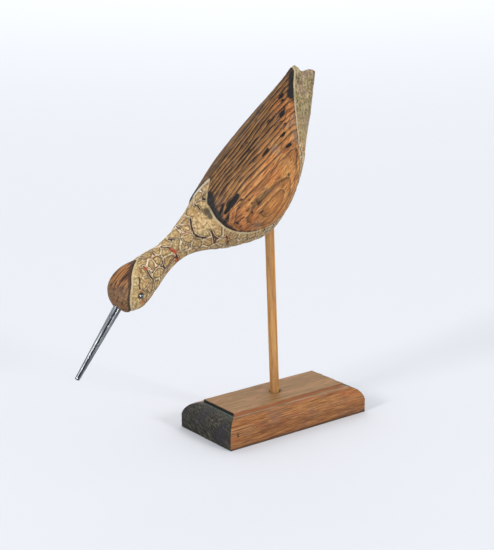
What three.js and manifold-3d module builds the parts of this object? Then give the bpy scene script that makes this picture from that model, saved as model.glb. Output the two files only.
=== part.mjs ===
// A carved shorebird decoy, feeding head down, on a round rod in a moulded wooden base.
// Millimetres, +Z up. The origin is the centre of the base's underside, +X runs from the
// bird's head towards its tail, and the bird's left side faces -Y.
import * as THREE from "three";
import { mergeVertices } from "three/addons/utils/BufferGeometryUtils.js";
import Module from "manifold-3d";

// Driving dimensions

const FIT_GAP = 0.3; // left between a piece and the socket or hole that it sits in

const BASE_LENGTH = 173;
const BASE_WIDTH = 82;
const BASE_HEIGHT = 30;
const EDGE_RADIUS = 15.2; // of the rounded edge, where the block's height allows it
const EDGE_LEAST_SIDE = 4; // upright side that is left below the rounded edge
const PANEL_LEDGE = 0.8; // between the rounded edge and the raised top panel
const PANEL_STEP = 3; // the panel stands this far above the rounded edge

const ROD_DIAMETER = 9.2;
const ROD_LEAN = 2.6; // degrees, towards the head
const ROD_HOLE_CLEARANCE = 0.5; // round the rod, in the base's hole
const ROD_HOLE_FLOOR = 10; // wood left in the base under the hole
const ROD_SOCKET_DEPTH = 24; // in the belly
const PERCH_HEIGHT = 173; // from the base's top panel to the belly, along the rod

const BIRD_LENGTH = 300; // front of the crown to the tail corner, as the bird leans
const WING_RELIEF = 1.7; // the wings stand this far above the coat
const CROWN_RELIEF = 0.9; // and the crown cap this far

const BILL_LENGTH = 74; // outside the head
const BILL_ROOT_DIAMETER = 8.2;
const BILL_TIP_DIAMETER = 4.6;
const BILL_SOCKET_DEPTH = 16;
const BILL_ANGLE = 52.8; // degrees below the horizontal

const EYE_DIAMETER = 5.5;
const EYE_SET_IN = 0.33; // the bead's centre lies this share of its radius inside the head

// The bird's form, drawn in hundredths of its length in its plane of symmetry. The origin is
// where the rod meets the belly. Each station is a slice across the body: the x and z of its
// point on the back, the x and z of its point on the belly, and its half width.
const STATIONS = [
  [-58.9, -17.2, -56.2, -18.8, 2.0],
  [-60.3, -14.1, -53.7, -18.7, 4.2],
  [-60.5, -10.7, -50.9, -18.2, 5.3],
  [-58.9, -7.5, -48.7, -16.7, 5.7],
  [-55.6, -5.1, -46.6, -14.7, 5.5],
  [-50.9, -3.5, -44.2, -12.3, 4.8],
  [-46.2, -1.8, -41.2, -9.2, 4.1],
  [-41.4, 0.5, -37.2, -6.3, 3.8],
  [-37.0, 3.8, -32.6, -4.5, 4.3],
  [-32.9, 7.5, -26.7, -4.1, 5.8],
  [-28.9, 11.9, -19.5, -4.6, 8.0],
  [-24.9, 16.3, -11.3, -4.2, 9.7],
  [-21.0, 20.6, -3.1, -2.4, 10.8],
  [-17.0, 24.6, 3.2, 3.3, 11.0],
  [-12.6, 28.7, 7.9, 9.8, 10.3],
  [-7.8, 33.0, 11.1, 18.2, 9.0],
  [-2.9, 37.3, 12.7, 26.3, 7.3],
  [1.5, 41.4, 14.2, 33.8, 5.9],
  [4.9, 45.0, 14.8, 39.8, 4.8],
  [7.6, 47.8, 14.9, 43.7, 4.4],
  [9.7, 50.0, 14.9, 47.8, 4.3],
];
// Slices are ellipses up to the first of these stations, and turn into the tail's section by the
// end: a ridge along the back, hollow flanks and a broad flat underside. It is drawn from the
// back round to the belly, in shares of the half depth and the half width. The third value is
// how far the tail's end reaches past its last station there, so that it ends in three points.
const TAIL_STATIONS = [15.5, 19.5];
const TAIL_SECTION = [
  [1, 0, 0.5],
  [0.88, 0.2, 0.2],
  [0.5, 0.33, -0.6],
  [0.05, 0.5, -0.6],
  [-0.42, 0.76, 0.8],
  [-0.78, 0.97, 1],
  [-1, 0.7, 0],
  [-0.96, 0, -0.3],
];
const TAIL_POINTS_FROM = 18.8; // the station where the end's points begin to draw out
const TAIL_END_HOLLOW = 1.2; // the middle of the end lies this far inside the last station

const RINGS_PER_STATION = 2.5;
const RING_SIDES = 42;
const ROD_SIDES = 40;
const BILL_SIDES = 32;
const EYE_SIDES = 14;
const EYE_ROWS = 9;
const EDGE_STEPS = 9; // in the base's rounded edge
const EDGE_POINTS = { wing: 60, crown: 24 };

// Edges of the carved relief, seen from the side, from the back round to the tail or the bill.
const WING_EDGE = [
  [-30.7, 20.0],
  [-28.4, 14.7],
  [-27.4, 11.0],
  [-26.1, 7.0],
  [-22.1, 3.5],
  [-15.7, 1.6],
  [-9.4, 2.1],
  [-3.7, 4.0],
  [0.1, 8.2],
  [3.5, 13.2],
  [4.7, 19.3],
  [4.5, 28.3],
  [5.4, 37.0],
  [7.2, 43.7],
  [8.7, 49.3],
  [8.8, 52.0],
];
const WING_CLOSURE = [
  [10.7, 63.3],
  [-40.0, 36.7],
];
const CROWN_EDGE = [
  [-48.3, 1.7],
  [-50.0, -4.0],
  [-53.3, -6.0],
  [-56.2, -8.7],
  [-57.3, -11.7],
  [-57.3, -15.3],
  [-56.0, -18.0],
  [-53.3, -21.3],
];
const CROWN_CLOSURE = [
  [-66.7, -30.0],
  [-76.7, -6.7],
  [-53.3, 6.7],
];

// Seen from above, the coat runs up between the wings in a V, and the crown cap ends in a V on
// the nape. Each has its point on the back at a station, and opens towards the head.
const MANTLE = { station: 11.5, halfAngle: 27, length: 11.3 };
const NAPE = { station: 4.9, halfAngle: 35, length: 20 };

const BILL_ROOT = [-58.5, -17.3];
const EYE_STATION = 2.84;
const EYE_ROUND = 98; // degrees round from the back
const STATION_STEP = 0.05; // between two points that give the surface's direction
const ROUND_STEP = 1; // and the same in degrees

const wood = { metalness: 0, roughness: 0.6 };
const materials = {
  bird: new THREE.MeshStandardMaterial({ color: 0xa98a5c, metalness: 0, roughness: 0.75 }),
  rod: new THREE.MeshStandardMaterial({ color: 0xb98548, ...wood }),
  base: new THREE.MeshStandardMaterial({ color: 0x8a5632, ...wood }),
  bill: new THREE.MeshStandardMaterial({ color: 0x8b9095, metalness: 0.9, roughness: 0.35 }),
  eye: new THREE.MeshStandardMaterial({ color: 0x0c0d10, metalness: 0, roughness: 0.08 }),
};

const wasm = await Module();
wasm.setup();

// Solids

function toSolid(geometry) {
  const bare = geometry.clone();
  bare.deleteAttribute("normal");
  bare.deleteAttribute("uv");
  const merged = mergeVertices(bare, 1e-4);
  const kept = [];
  const index = merged.index.array;
  for (let i = 0; i < index.length; i += 3) {
    const [a, b, c] = index.slice(i, i + 3);
    if (a !== b && b !== c && c !== a) kept.push(a, b, c);
  }
  const vertProperties = merged.attributes.position.array;
  const triVerts = new Uint32Array(kept);
  return new wasm.Manifold(new wasm.Mesh({ numProp: 3, vertProperties, triVerts }));
}

function toGeometry(solid) {
  const mesh = solid.getMesh();
  const geometry = new THREE.BufferGeometry();
  geometry.setAttribute("position", new THREE.BufferAttribute(mesh.vertProperties, 3));
  geometry.setIndex(new THREE.BufferAttribute(mesh.triVerts, 1));
  geometry.computeVertexNormals();
  return geometry;
}

// A closed skin over rings of equally many points, each end closed by a fan about its centre,
// and the last one sunk in by a vector where that is given.
function skin(rings, sink = new THREE.Vector3()) {
  const sides = rings[0].length;
  const positions = rings.flat().flatMap((p) => [p.x, p.y, p.z]);
  const index = [];
  for (let i = 0; i + 1 < rings.length; i++) {
    for (let j = 0; j < sides; j++) {
      const next = (j + 1) % sides;
      const [a, b] = [i * sides + j, i * sides + next];
      const [c, d] = [a + sides, b + sides];
      index.push(a, b, c, b, d, c);
    }
  }
  for (const row of [0, rings.length - 1]) {
    const centre = new THREE.Vector3();
    rings[row].forEach((p) => centre.addScaledVector(p, 1 / sides));
    if (row > 0) centre.add(sink);
    const hub = positions.length / 3;
    positions.push(centre.x, centre.y, centre.z);
    for (let j = 0; j < sides; j++) {
      const [a, b] = [row * sides + j, row * sides + ((j + 1) % sides)];
      index.push(hub, row > 0 ? a : b, row > 0 ? b : a);
    }
  }
  const geometry = new THREE.BufferGeometry();
  geometry.setAttribute("position", new THREE.Float32BufferAttribute(positions, 3));
  geometry.setIndex(index);
  return geometry;
}

// A round bar between two points, with a radius at each.
function bar(from, to, radiusFrom, radiusTo, sides) {
  const along = to.clone().sub(from);
  const geometry = new THREE.CylinderGeometry(radiusTo, radiusFrom, along.length(), sides);
  const turn = new THREE.Quaternion().setFromUnitVectors(
    new THREE.Vector3(0, 1, 0),
    along.clone().normalize(),
  );
  geometry.applyQuaternion(turn);
  const middle = from.clone().add(to).multiplyScalar(0.5);
  return geometry.translate(middle.x, middle.y, middle.z);
}

// Rod: it leans in the plane of symmetry, so that it foots at the middle of the top panel

const rodDirection = new THREE.Vector3(0, 0, 1).applyAxisAngle(
  new THREE.Vector3(0, 1, 0),
  -THREE.MathUtils.degToRad(ROD_LEAN),
);
const rodFoot = new THREE.Vector3(0, 0, BASE_HEIGHT);
const belly = rodFoot.clone().addScaledVector(rodDirection, PERCH_HEIGHT);
const holeDepth = BASE_HEIGHT - ROD_HOLE_FLOOR;
const holeFloor = rodFoot.clone().addScaledVector(rodDirection, -holeDepth);
const socketRoof = belly.clone().addScaledVector(rodDirection, ROD_SOCKET_DEPTH);
const rodStart = holeFloor.clone().addScaledVector(rodDirection, FIT_GAP);
const rodEnd = socketRoof.clone().addScaledVector(rodDirection, -FIT_GAP);
const rodGeometry = bar(rodStart, rodEnd, ROD_DIAMETER / 2, ROD_DIAMETER / 2, ROD_SIDES);

// Base: rectangles stacked up, each set in by the profile of the moulded edge

function baseProfile() {
  const edgeTop = BASE_HEIGHT - PANEL_STEP;
  const radius = Math.min(EDGE_RADIUS, edgeTop - EDGE_LEAST_SIDE);
  const profile = [[0, 0]];
  for (let i = 0; i <= EDGE_STEPS; i++) {
    const angle = ((Math.PI / 2) * i) / EDGE_STEPS;
    profile.push([radius * (1 - Math.cos(angle)), edgeTop - radius * (1 - Math.sin(angle))]);
  }
  const panelInset = radius + PANEL_LEDGE;
  profile.push([panelInset, edgeTop], [panelInset, BASE_HEIGHT]);
  return profile;
}

function baseBlock() {
  const rings = baseProfile().map(([inset, z]) => {
    const x = BASE_LENGTH / 2 - inset;
    const y = BASE_WIDTH / 2 - inset;
    return [
      new THREE.Vector3(-x, -y, z),
      new THREE.Vector3(x, -y, z),
      new THREE.Vector3(x, y, z),
      new THREE.Vector3(-x, y, z),
    ];
  });
  const holeTop = rodFoot.clone().addScaledVector(rodDirection, ROD_DIAMETER);
  const holeRadius = ROD_DIAMETER / 2 + ROD_HOLE_CLEARANCE;
  const hole = bar(holeFloor, holeTop, holeRadius, holeRadius, ROD_SIDES);
  return toSolid(skin(rings)).subtract(toSolid(hole));
}

// Bird

const hundredth = BIRD_LENGTH / 100;
const SIDE = new THREE.Vector3(0, 1, 0);

function placed(x, z) {
  return new THREE.Vector3(belly.x + x * hundredth, 0, belly.z + z * hundredth);
}

// The back, the belly and the half width at any place along the body, in stations
function slice(station) {
  const last = STATIONS.length - 1;
  const row = (i) => STATIONS[THREE.MathUtils.clamp(i, 0, last)];
  const i = Math.min(Math.floor(station), last - 1);
  const t = station - i;
  const [before, from, to, after] = [row(i - 1), row(i), row(i + 1), row(i + 2)];
  const value = from.map((_, k) => {
    const slopeFrom = (to[k] - before[k]) / (i === 0 ? 1 : 2);
    const slopeTo = (after[k] - from[k]) / (i + 2 > last ? 1 : 2);
    const curve = 2 * from[k] - 2 * to[k] + slopeFrom + slopeTo;
    const bend = 3 * (to[k] - from[k]) - 2 * slopeFrom - slopeTo;
    return from[k] + t * (slopeFrom + t * (bend + t * curve));
  });
  return { back: placed(value[0], value[1]), keel: placed(value[2], value[3]), half: value[4] };
}

const tailCurve = new THREE.CatmullRomCurve3(
  TAIL_SECTION.map((p) => new THREE.Vector3(...p)),
  false,
  "catmullrom",
);

// A point on the body: round is 0 on the back, 90 degrees on the left side, 180 on the belly
function bodyPoint(station, round, raised = 0) {
  const { back, keel, half } = slice(station);
  const middle = back.clone().add(keel).multiplyScalar(0.5);
  const up = back.clone().sub(middle);
  const depth = up.length();
  const left = round <= 180;
  const fromBack = left ? round : 360 - round;
  const angle = THREE.MathUtils.degToRad(fromBack);
  const oval = new THREE.Vector3(Math.cos(angle), Math.sin(angle), 0);
  const tail = tailCurve.getPoint(fromBack / 180);
  const past = tail.z * THREE.MathUtils.smoothstep(station, TAIL_POINTS_FROM, STATIONS.length - 1);
  const share = oval.lerp(tail, THREE.MathUtils.smoothstep(station, ...TAIL_STATIONS));
  const across = share.y * (half * hundredth + raised);
  return middle
    .addScaledVector(up.divideScalar(depth), share.x * (depth + raised))
    .addScaledVector(SIDE, left ? -across : across)
    .addScaledVector(SIDE.clone().cross(up), past * hundredth);
}

function bodySkin(raised) {
  const last = STATIONS.length - 1;
  const count = Math.round(last * RINGS_PER_STATION);
  const rings = [];
  for (let i = 0; i <= count; i++) {
    const station = (last * i) / count;
    const ring = [];
    for (let j = 0; j < RING_SIDES; j++) {
      ring.push(bodyPoint(station, (360 * j) / RING_SIDES, raised));
    }
    rings.push(ring);
  }
  const { back, keel } = slice(last);
  const headwards = back.sub(keel).cross(SIDE).setLength(TAIL_END_HOLLOW * hundredth);
  return toSolid(skin(rings, headwards));
}

// The space on both sides of the body that lies within an outline drawn from the side
function sideways(edge, closure, pointsAlong) {
  const curve = new THREE.SplineCurve(edge.map(([x, z]) => new THREE.Vector2(x, z)));
  const corners = closure.map(([x, z]) => new THREE.Vector2(x, z));
  const outline = [...curve.getSpacedPoints(pointsAlong), ...corners].map((p) => {
    const at = placed(p.x, p.y);
    return new THREE.Vector2(at.x, at.z);
  });
  const reach = BIRD_LENGTH / 2;
  const shape = new THREE.Shape(outline);
  const prism = new THREE.ExtrudeGeometry(shape, { depth: 2 * reach, bevelEnabled: false });
  return toSolid(prism.rotateX(Math.PI / 2).translate(0, reach, 0));
}

// The space under a V drawn on the back, right through the body
function wedge({ station, halfAngle, length }) {
  const tip = bodyPoint(station, 0);
  const tailwards = bodyPoint(station + STATION_STEP, 0).sub(tip).normalize();
  const headwards = tailwards.negate();
  const reach = length * hundredth;
  const spread = reach * Math.tan(THREE.MathUtils.degToRad(halfAngle));
  const shape = new THREE.Shape([
    new THREE.Vector2(0, 0),
    new THREE.Vector2(reach, -spread),
    new THREE.Vector2(reach, spread),
  ]);
  const prism = new THREE.ExtrudeGeometry(shape, { depth: 2 * reach, bevelEnabled: false });
  const turn = new THREE.Matrix4().makeBasis(headwards, SIDE, headwards.clone().cross(SIDE));
  prism.translate(0, 0, -reach).applyMatrix4(turn);
  return toSolid(prism.translate(tip.x, tip.y, tip.z));
}

const billDirection = new THREE.Vector3(-1, 0, 0).applyAxisAngle(
  SIDE,
  -THREE.MathUtils.degToRad(BILL_ANGLE),
);
const billRoot = placed(...BILL_ROOT);
const billTip = billRoot.clone().addScaledVector(billDirection, BILL_LENGTH);
const billSocketFloor = billRoot.clone().addScaledVector(billDirection, -BILL_SOCKET_DEPTH);

function bill() {
  const start = billSocketFloor.clone().addScaledVector(billDirection, FIT_GAP);
  const rootRadius = BILL_ROOT_DIAMETER / 2;
  const shank = toSolid(bar(start, billRoot, rootRadius, rootRadius, BILL_SIDES));
  const spike = bar(billRoot, billTip, rootRadius, BILL_TIP_DIAMETER / 2, BILL_SIDES);
  return shank.add(toSolid(spike));
}

// An eye's centre: on the head's surface, then inwards
function eyeCentre(round) {
  const here = bodyPoint(EYE_STATION, round);
  const alongHead = bodyPoint(EYE_STATION + STATION_STEP, round).sub(here);
  const aroundHead = bodyPoint(EYE_STATION, round + ROUND_STEP).sub(here);
  const inwards = alongHead.cross(aroundHead).normalize();
  return here.addScaledVector(inwards, (EYE_SET_IN * EYE_DIAMETER) / 2);
}

function ball(centre, diameter) {
  const sphere = new THREE.SphereGeometry(diameter / 2, EYE_SIDES, EYE_ROWS);
  return sphere.translate(centre.x, centre.y, centre.z);
}

const leftEye = eyeCentre(EYE_ROUND);
const rightEye = eyeCentre(360 - EYE_ROUND);

function bird() {
  const wings = bodySkin(WING_RELIEF)
    .intersect(sideways(WING_EDGE, WING_CLOSURE, EDGE_POINTS.wing))
    .subtract(wedge(MANTLE));
  const crown = bodySkin(CROWN_RELIEF)
    .intersect(sideways(CROWN_EDGE, CROWN_CLOSURE, EDGE_POINTS.crown))
    .intersect(wedge(NAPE));
  const socketRadius = BILL_ROOT_DIAMETER / 2 + FIT_GAP;
  const billMouth = billRoot.clone().addScaledVector(billDirection, BILL_SOCKET_DEPTH);
  const billSocket = bar(billSocketFloor, billMouth, socketRadius, socketRadius, BILL_SIDES);
  const rodMouth = belly.clone().addScaledVector(rodDirection, -ROD_SOCKET_DEPTH);
  const rodSocketRadius = ROD_DIAMETER / 2 + FIT_GAP;
  const rodSocket = bar(rodMouth, socketRoof, rodSocketRadius, rodSocketRadius, ROD_SIDES);
  return bodySkin(0)
    .add(wings)
    .add(crown)
    .subtract(toSolid(billSocket))
    .subtract(toSolid(rodSocket))
    .subtract(toSolid(ball(leftEye, EYE_DIAMETER + 2 * FIT_GAP)))
    .subtract(toSolid(ball(rightEye, EYE_DIAMETER + 2 * FIT_GAP)));
}

// The object

const decoy = new THREE.Group();

function addPiece(name, geometry, material) {
  const mesh = new THREE.Mesh(geometry, material);
  mesh.name = name;
  decoy.add(mesh);
}

addPiece("base", toGeometry(baseBlock()), materials.base);
addPiece("rod", rodGeometry, materials.rod);
addPiece("bird", toGeometry(bird()), materials.bird);
addPiece("bill", toGeometry(bill()), materials.bill);
addPiece("left_eye", ball(leftEye, EYE_DIAMETER), materials.eye);
addPiece("right_eye", ball(rightEye, EYE_DIAMETER), materials.eye);

export default decoy;
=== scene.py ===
import itertools
import math

import bmesh
import bpy
import numpy as np
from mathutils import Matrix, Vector, kdtree
from mathutils.bvhtree import BVHTree


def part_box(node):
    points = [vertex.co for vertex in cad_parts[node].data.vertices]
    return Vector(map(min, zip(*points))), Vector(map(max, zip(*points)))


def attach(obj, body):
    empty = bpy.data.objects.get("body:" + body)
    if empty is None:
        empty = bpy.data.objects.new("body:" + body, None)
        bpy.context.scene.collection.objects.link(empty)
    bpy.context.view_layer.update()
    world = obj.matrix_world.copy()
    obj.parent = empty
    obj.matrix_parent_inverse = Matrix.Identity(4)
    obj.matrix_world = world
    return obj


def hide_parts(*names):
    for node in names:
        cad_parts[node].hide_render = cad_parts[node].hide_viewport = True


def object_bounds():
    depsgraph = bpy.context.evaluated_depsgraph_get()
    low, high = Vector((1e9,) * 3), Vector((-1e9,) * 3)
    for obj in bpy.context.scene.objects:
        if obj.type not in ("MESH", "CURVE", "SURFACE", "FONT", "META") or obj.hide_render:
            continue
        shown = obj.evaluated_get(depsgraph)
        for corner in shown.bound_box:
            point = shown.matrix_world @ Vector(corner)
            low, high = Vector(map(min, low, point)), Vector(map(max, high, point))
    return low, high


# Looks of a carved shorebird decoy on its stand. Blender works in metres, in the frame of the
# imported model. Shapes and surface fields are worked out in millimetres and scaled at the end.
# The bird's head points to -X, its left side faces -Y, and +Z is up.

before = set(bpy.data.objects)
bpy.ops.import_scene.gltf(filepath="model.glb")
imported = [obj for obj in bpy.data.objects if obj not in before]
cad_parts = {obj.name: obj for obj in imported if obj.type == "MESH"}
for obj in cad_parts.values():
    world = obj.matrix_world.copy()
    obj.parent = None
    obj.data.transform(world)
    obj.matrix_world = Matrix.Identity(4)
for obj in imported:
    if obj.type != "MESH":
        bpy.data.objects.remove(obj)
cad_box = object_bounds()
MM = 0.001

# Camera, and the width and height of the photo in pixels
PHOTO_SIZE = (494, 550)
CAMERA_PLACE = (-831.96, -1029.24, 520.44)
CAMERA_AZIMUTH = -37.748
CAMERA_ELEVATION = 15.612
LENS = 91.64
SENSOR = 36

# Sizes in millimetres and angles in degrees, as in the solid model
BASE_SIZE = (173, 82, 30)
EDGE_RADIUS = 15.2
PANEL_STEP = 3
ROD_DIAMETER = 9.2
ROD_LEAN = 2.6
ROD_HOLE_FLOOR = 10
ROD_SOCKET_DEPTH = 24
PERCH_HEIGHT = 173
BIRD_LENGTH = 300
BILL_ANGLE = 52.8
BILL_SOCKET_DEPTH = 16
BILL_ROOT_DIAMETER = 8.2
BILL_TIP_DIAMETER = 4.6
EYE_DIAMETER = 5.5
FIT_GAP = 0.3

# Fine meshes: the size of the faces, or the sides and rows of a round piece
BIRD_FACE = 0.87
BASE_FACE = 0.85
ROD_GRID = (56, 170)
BILL_GRID = (72, 120)
EYE_GRID = (48, 32)
# How far the surface of a round piece lies inside its solid
ROD_INSET = 0.05
BILL_INSET = 0.06

# Outlines of the carved relief in hundredths of the bird's length, from where the rod meets the
# belly, seen from the side. They are the edges of the solid's own relief.
WING_EDGE = [
    (-30.7, 20), (-28.4, 14.7), (-27.4, 11), (-26.1, 7), (-22.1, 3.5), (-15.7, 1.6),
    (-9.4, 2.1), (-3.7, 4), (0.1, 8.2), (3.5, 13.2), (4.7, 19.3), (4.5, 28.3),
    (5.4, 37), (7.2, 43.7), (8.7, 49.3), (8.8, 52),
]
WING_CLOSURE = [(10.7, 63.3), (-40, 36.7)]
CROWN_EDGE = [
    (-48.3, 1.7), (-50, -4), (-53.3, -6), (-56.2, -8.7),
    (-57.3, -11.7), (-57.3, -15.3), (-56, -18), (-53.3, -21.3),
]
CROWN_CLOSURE = [(-66.7, -30), (-76.7, -6.7), (-53.3, 6.7)]
# The Vs on the back: their point, the way they open, and half their angle in degrees
MANTLE = {"tip": (-22.95, 18.45), "opens": (-0.672, -0.741), "half_angle": 27}
NAPE = {"tip": (-51.4, -3.7), "opens": (-0.944, -0.331), "half_angle": 35}


def way_to(azimuth, elevation):
    """The way that an azimuth from +X and an elevation point in, both in degrees."""
    azimuth = math.radians(azimuth)
    elevation = math.radians(elevation)
    level = math.cos(elevation)
    return Vector((math.cos(azimuth) * level, math.sin(azimuth) * level, math.sin(elevation)))


# The way from the decoy to the camera, whose azimuth is counted from -Y
CAMERA_BACK = way_to(CAMERA_AZIMUTH - 90, CAMERA_ELEVATION)


# Fields over points

def noise_at(points, size, seed, stretch=None):
    """Smooth noise from -1 to 1 at points, with features about size across."""
    places = points / size
    if stretch is not None:
        along, times = stretch
        places = places - np.outer(places @ along, along) * (1 - 1 / times)
    places += seed * 17.31
    corner = np.floor(places).astype(np.int64)
    part = places - corner
    part = part ** 3 * (part * (part * 6 - 15) + 10)
    total = np.zeros(len(points))
    for step in itertools.product((0, 1), repeat=3):
        key = corner + np.array(step)
        mixed = key[:, 0] * 73856093 ^ key[:, 1] * 19349663 ^ key[:, 2] * 83492791
        mixed = (mixed ^ seed * 2654435761 ^ (mixed >> 13)) * 1274126177 & 0xFFFFFFFF
        mixed = (mixed ^ (mixed >> 16)) & 0xFFFF
        weight = np.prod(np.where(np.array(step) == 1, part, 1 - part), axis=1)
        total += weight * (mixed / 32767.5 - 1)
    return total


def smoothstep(low, high, values):
    share = np.clip((values - low) / (high - low), 0, 1)
    return share * share * (3 - 2 * share)


def catmull_rom(points, steps):
    """A smooth curve through points, with this many steps between two of them."""
    ends = np.array([points[0], *points, points[-1]], float)
    curve = []
    for a, b, c, d in zip(ends, ends[1:], ends[2:], ends[3:]):
        for t in np.arange(steps) / steps:
            bend = 2 * a - 5 * b + 4 * c - d
            turn = 3 * (b - c) + d - a
            curve.append(0.5 * (2 * b + t * (c - a) + t * t * bend + t ** 3 * turn))
    return np.array([*curve, ends[-1]])


def segment_distance(points, start, end):
    """The distance of each point to a segment, and the share along it of the nearest place."""
    along = end - start
    share = np.clip((points - start) @ along / max(along @ along, 1e-9), 0, 1)
    return np.linalg.norm(points - start - share[:, None] * along, axis=1), share


def path_distance(points, path):
    """The distance of each point to a chain of segments."""
    path = np.array(path, float)
    return np.min([segment_distance(points, a, b)[0] for a, b in zip(path, path[1:])], axis=0)


def inside(points, outline):
    """Whether each point in a plane lies within a closed outline."""
    result = np.zeros(len(points), bool)
    x, y = points[:, 0], points[:, 1]
    for (ax, ay), (bx, by) in zip(outline, np.roll(outline, -1, axis=0)):
        crosses = (ay > y) != (by > y)
        at = ax + (y - ay) * (bx - ax) / (by - ay if by != ay else 1)
        result ^= crosses & (x < at)
    return result


# The bird's own plane: the point where the rod meets the belly, and the way of the wood's fibres

lean = math.radians(ROD_LEAN)
rod_way = np.array([-math.sin(lean), 0, math.cos(lean)])
rod_foot = np.array([0, 0, BASE_SIZE[2]])
belly = rod_foot + rod_way * PERCH_HEIGHT
FIBRE = np.array([0.776, 0, 0.631])
ACROSS_FIBRE = np.array([-0.631, 0, 0.776])
TAIL_WAY = np.array([0.12, 0, 0.993])


def drawn(points):
    """Outline points in millimetres in the bird's plane."""
    return np.array(points, float) * BIRD_LENGTH / 100 + belly[[0, 2]]


def edge_distance(points, edge, closure):
    """How far inside an outline, seen from the side, each point lies. Outside is negative."""
    curve = drawn(catmull_rom(edge, 6))
    closed = np.vstack([curve, drawn(closure)])
    flat = points[:, [0, 2]]
    near = path_distance(flat, closed)
    return np.where(inside(flat, closed), near, -near)


def wedge_distance(points, wedge):
    """How far inside a V on the back each point lies. Outside is negative."""
    tip = drawn([wedge["tip"]])[0]
    opens = np.array(wedge["opens"])
    half = math.radians(wedge["half_angle"])
    reach = (points[:, [0, 2]] - tip) @ opens
    return reach * math.sin(half) - np.abs(points[:, 1]) * math.cos(half)


# Meshes

class Skin:
    """A mesh with its points in millimetres, which fields are worked out over."""

    def __init__(self, mesh):
        self.mesh = mesh
        self.points = np.empty(len(mesh.vertices) * 3)
        mesh.vertices.foreach_get("co", self.points)
        self.points = self.points.reshape(-1, 3) / MM
        edges = np.empty(len(mesh.edges) * 2, np.int64)
        mesh.edges.foreach_get("vertices", edges)
        self.start, self.end = edges.reshape(-1, 2).T
        self.count = len(self.points)
        self.links = self.summed(None, None)

    def summed(self, starting, ending):
        """The sum at each point of values of the edges that start there and that end there."""
        return (np.bincount(self.start, starting, self.count)
                + np.bincount(self.end, ending, self.count))

    def gather(self, values):
        """The sum of a field over each point's neighbours."""
        return self.summed(values[self.end], values[self.start])

    def blur(self, values, passes):
        for _ in range(passes):
            values = (values + self.gather(values)) / (1 + self.links)
        return values

    def relax(self, passes, share):
        """Evens out the points, by a share from 0 to 1 at each of them, without shrinking."""
        for way in [0.5, -0.53] * passes:
            mean = [self.gather(self.points[:, axis]) / self.links for axis in range(3)]
            self.points += (np.stack(mean, axis=1) - self.points) * (way * share)[:, None]

    def slope(self, values):
        """How fast a field changes along the surface, for each millimetre."""
        span = self.points[self.end] - self.points[self.start]
        rise = (values[self.end] - values[self.start]) ** 2 / np.maximum((span ** 2).sum(1), 1e-6)
        return self.blur(np.sqrt(2 * self.summed(rise, rise) / self.links), 2)

    def write(self):
        self.mesh.vertices.foreach_set("co", (self.points * MM).ravel())
        self.mesh.update()

    def normals(self):
        self.write()
        found = np.empty(self.count * 3)
        self.mesh.vertex_normals.foreach_get("vector", found)
        return found.reshape(-1, 3)

    def lift(self, height, normals):
        self.points = self.points + normals * height[:, None]
        self.write()

    def store(self, **fields):
        for name, values in fields.items():
            field = self.mesh.attributes.new(name, "FLOAT", "POINT")
            field.data.foreach_set("value", values.astype(np.float32))


def add_object(name, mesh):
    made = bpy.data.objects.new(name, mesh)
    bpy.context.scene.collection.objects.link(made)
    return made


def finish_piece(made, material, slot, *nodes):
    made.data.materials.clear()
    made.data.materials.append(material)
    made.data.shade_smooth()
    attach(made, "root")
    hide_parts(*nodes)


def fine_copy(node, name, face):
    """A new object in the form of a CAD node, in even faces."""
    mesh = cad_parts[node].data.copy()
    form = bmesh.new()
    form.from_mesh(mesh)
    bmesh.ops.remove_doubles(form, verts=form.verts, dist=1e-6)
    form.to_mesh(mesh)
    form.free()
    made = add_object(name, mesh)
    remesh = made.modifiers.new("even_faces", "REMESH")
    remesh.mode = "VOXEL"
    remesh.voxel_size = face * MM
    depsgraph = bpy.context.evaluated_depsgraph_get()
    made.data = bpy.data.meshes.new_from_object(made.evaluated_get(depsgraph))
    made.modifiers.clear()
    return made


def add_lathe(name, rings):
    """A new object over rings of equally many points, closed by a fan at each end."""
    sides = len(rings[0])
    points = np.vstack(rings)
    faces = []
    for row, column in itertools.product(range(len(rings) - 1), range(sides)):
        a = row * sides + column
        b = row * sides + (column + 1) % sides
        faces.append((a, b, b + sides, a + sides))
    hubs = [rings[0].mean(0), rings[-1].mean(0)]
    first, last = len(points), len(points) + 1
    top = (len(rings) - 1) * sides
    for column in range(sides):
        following = (column + 1) % sides
        faces.append((first, following, column))
        faces.append((last, top + column, top + following))
    mesh = bpy.data.meshes.new(name)
    mesh.from_pydata((np.vstack([points, hubs]) * MM).tolist(), [], faces)
    return add_object(name, mesh)


def angles(sides):
    return np.arange(sides) * 2 * math.pi / sides


def ring_round(centre, way, radius, sides, side_way=(0, 1, 0)):
    """Points of a ring about a line. radius is a number or one value for each point."""
    way = np.array(way) / np.linalg.norm(way)
    first = np.cross(side_way, way)
    first /= np.linalg.norm(first)
    second = np.cross(way, first)
    spokes = np.outer(np.cos(angles(sides)), first) + np.outer(np.sin(angles(sides)), second)
    return np.array(centre) + spokes * np.reshape(radius, (-1, 1))


# Materials

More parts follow.
